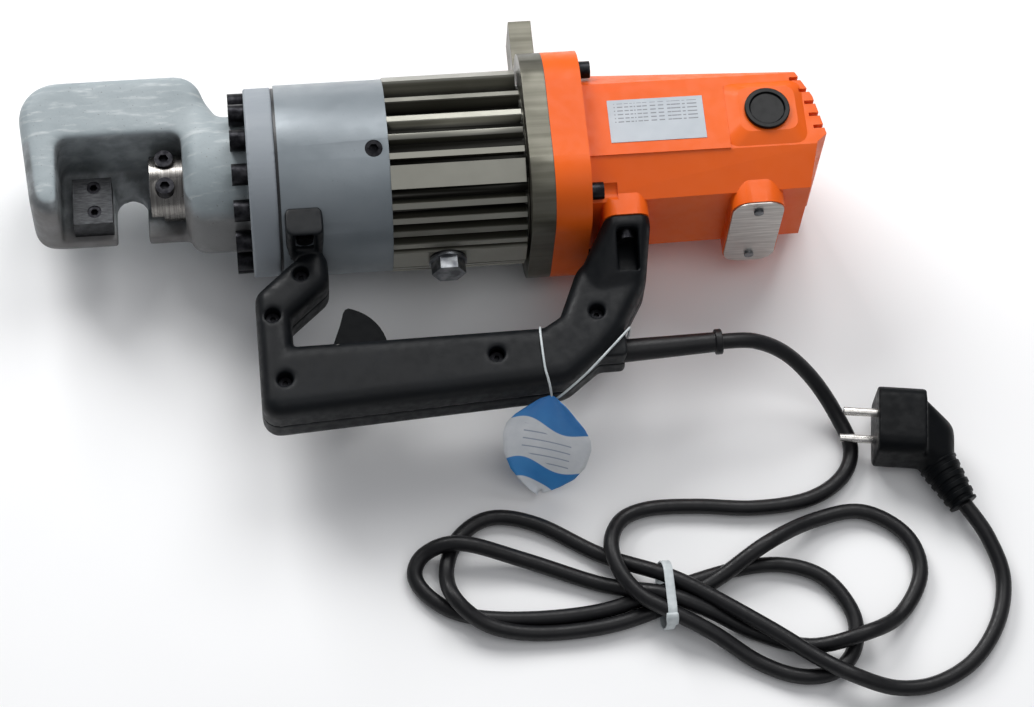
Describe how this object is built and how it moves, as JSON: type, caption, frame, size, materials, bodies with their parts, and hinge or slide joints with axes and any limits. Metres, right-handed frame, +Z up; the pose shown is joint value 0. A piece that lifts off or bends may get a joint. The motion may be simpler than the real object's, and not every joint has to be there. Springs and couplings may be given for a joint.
{
  "type": "portable rebar cutter",
  "caption": "Portable electro-hydraulic rebar cutter with an open C-shaped cutting head, ribbed oil reservoir, orange motor housing, D-shaped handle with trigger, and a tied mains cord.",
  "frame": {"origin": "centre of the footprint of the tool without its cord, on the surface it lies on", "axes": "+X along the tool from the cutting head to the motor, +Y away from the handle, +Z up; the tool lies on its side"},
  "size_m": [0.5465, 0.412, 0.113],
  "materials": {
    "cast_head": "rough silver-grey paint on a casting",
    "black_steel": "black oxide screws",
    "blade_steel": "dark hardened tool steel",
    "ram_steel": "turned bright steel",
    "cylinder_paint": "satin grey paint",
    "reservoir_alloy": "olive bronze anodised, extruded",
    "zinc_steel": "bright zinc plate",
    "seal_rubber": "nitrile rubber",
    "bare_alloy": "machined",
    "brass": "plain",
    "copper": "enamelled copper wire",
    "motor_steel": "laminated sheet",
    "housing_orange": "moulded, fine texture",
    "handle_black": "glass filled nylon, fine texture",
    "cap_black": "polished phenolic",
    "label_white": "blank film label",
    "plate_silver": "blank etched plate",
    "cord_rubber": "matt sheath",
    "plug_black": "moulded vinyl",
    "pin_nickel": "nickel plated",
    "tie_nylon": "natural nylon",
    "carbon": "pressed graphite"
  },
  "bodies": {
    "machine": {"cutter_head": "cast_head", "head_bolts": "black_steel", "fixed_blade": "blade_steel", "fixed_blade_screws": "black_steel", "head_seal_ring": "seal_rubber", "piston_return_spring": "zinc_steel", "hydraulic_cylinder": "cylinder_paint", "bleed_screw": "black_steel", "oil_reservoir": "reservoir_alloy", "oil_filler_plug": "zinc_steel", "filler_plug_washer": "seal_rubber", "oil_bladder": "seal_rubber", "pump_body": "bare_alloy", "plunger_spring": "zinc_steel", "relief_valve": "brass", "eccentric_bearings": "ram_steel", "lug_flange": "reservoir_alloy", "motor_housing": "housing_orange", "flange_screws": "black_steel", "front_bearing": "ram_steel", "rear_bearing": "ram_steel", "stator_core": "motor_steel", "stator_windings": "copper", "brush_holders": "brass", "carbon_brushes": "carbon", "brush_caps": "cap_black", "side_label": "label_white", "nameplate": "plate_silver", "nameplate_screws": "zinc_steel", "handle_shell_upper": "handle_black", "handle_shell_lower": "handle_black", "handle_shell_screws": "black_steel", "handle_mount_screws": "black_steel", "trigger_pin": "ram_steel", "trigger_spring": "zinc_steel", "switch_body": "handle_black", "cord_guard": "cord_rubber", "power_cord": "cord_rubber", "plug_body": "plug_black", "plug_pins": "pin_nickel", "cable_tie": "tie_nylon"},
    "ram": {"piston_ram": "ram_steel", "moving_blade": "blade_steel", "moving_blade_screws": "black_steel", "piston_seal": "seal_rubber"},
    "rotor": {"rotor_shaft": "ram_steel", "rotor_core": "motor_steel", "commutator": "copper", "cooling_fan": "handle_black"},
    "eccentric": {"eccentric_shaft": "ram_steel", "drive_gear": "blade_steel"},
    "plunger": {"pump_plunger": "ram_steel"},
    "trigger": {"trigger": "handle_black"}
  },
  "joints": [
    {"name": "ram_slide", "type": "slide", "parent": "machine", "child": "ram", "axis": [-1, 0, 0], "range_m": [0, 0.022], "stiffness_N_per_m": 3000, "springref_m": -0.01, "deforming": ["piston_return_spring"]},
    {"name": "trigger_pull", "type": "hinge", "parent": "machine", "child": "trigger", "pos_m": [-0.057, -0.0835, 0.0565], "axis": [0, 0, -1], "range_deg": [0, 14], "stiffness_Nm_per_rad": 0.6, "springref_deg": -17.19, "deforming": ["trigger_spring"]},
    {"name": "rotor_spin", "type": "hinge", "parent": "machine", "child": "rotor", "pos_m": [0.15, 0.0325, 0.0565], "axis": [1, 0, 0], "continuous": true},
    {"name": "eccentric_spin", "type": "hinge", "parent": "machine", "child": "eccentric", "pos_m": [0.05, 0.0105, 0.0565], "axis": [1, 0, 0], "continuous": true},
    {"name": "plunger_stroke", "type": "slide", "parent": "machine", "child": "plunger", "axis": [0, -1, 0], "range_m": [0, 0.003], "stiffness_N_per_m": 800, "deforming": ["plunger_spring"]}
  ],
  "couplings": [
    {"joint": "eccentric_spin", "follows": "rotor_spin", "ratio": -0.22222}
  ]
}
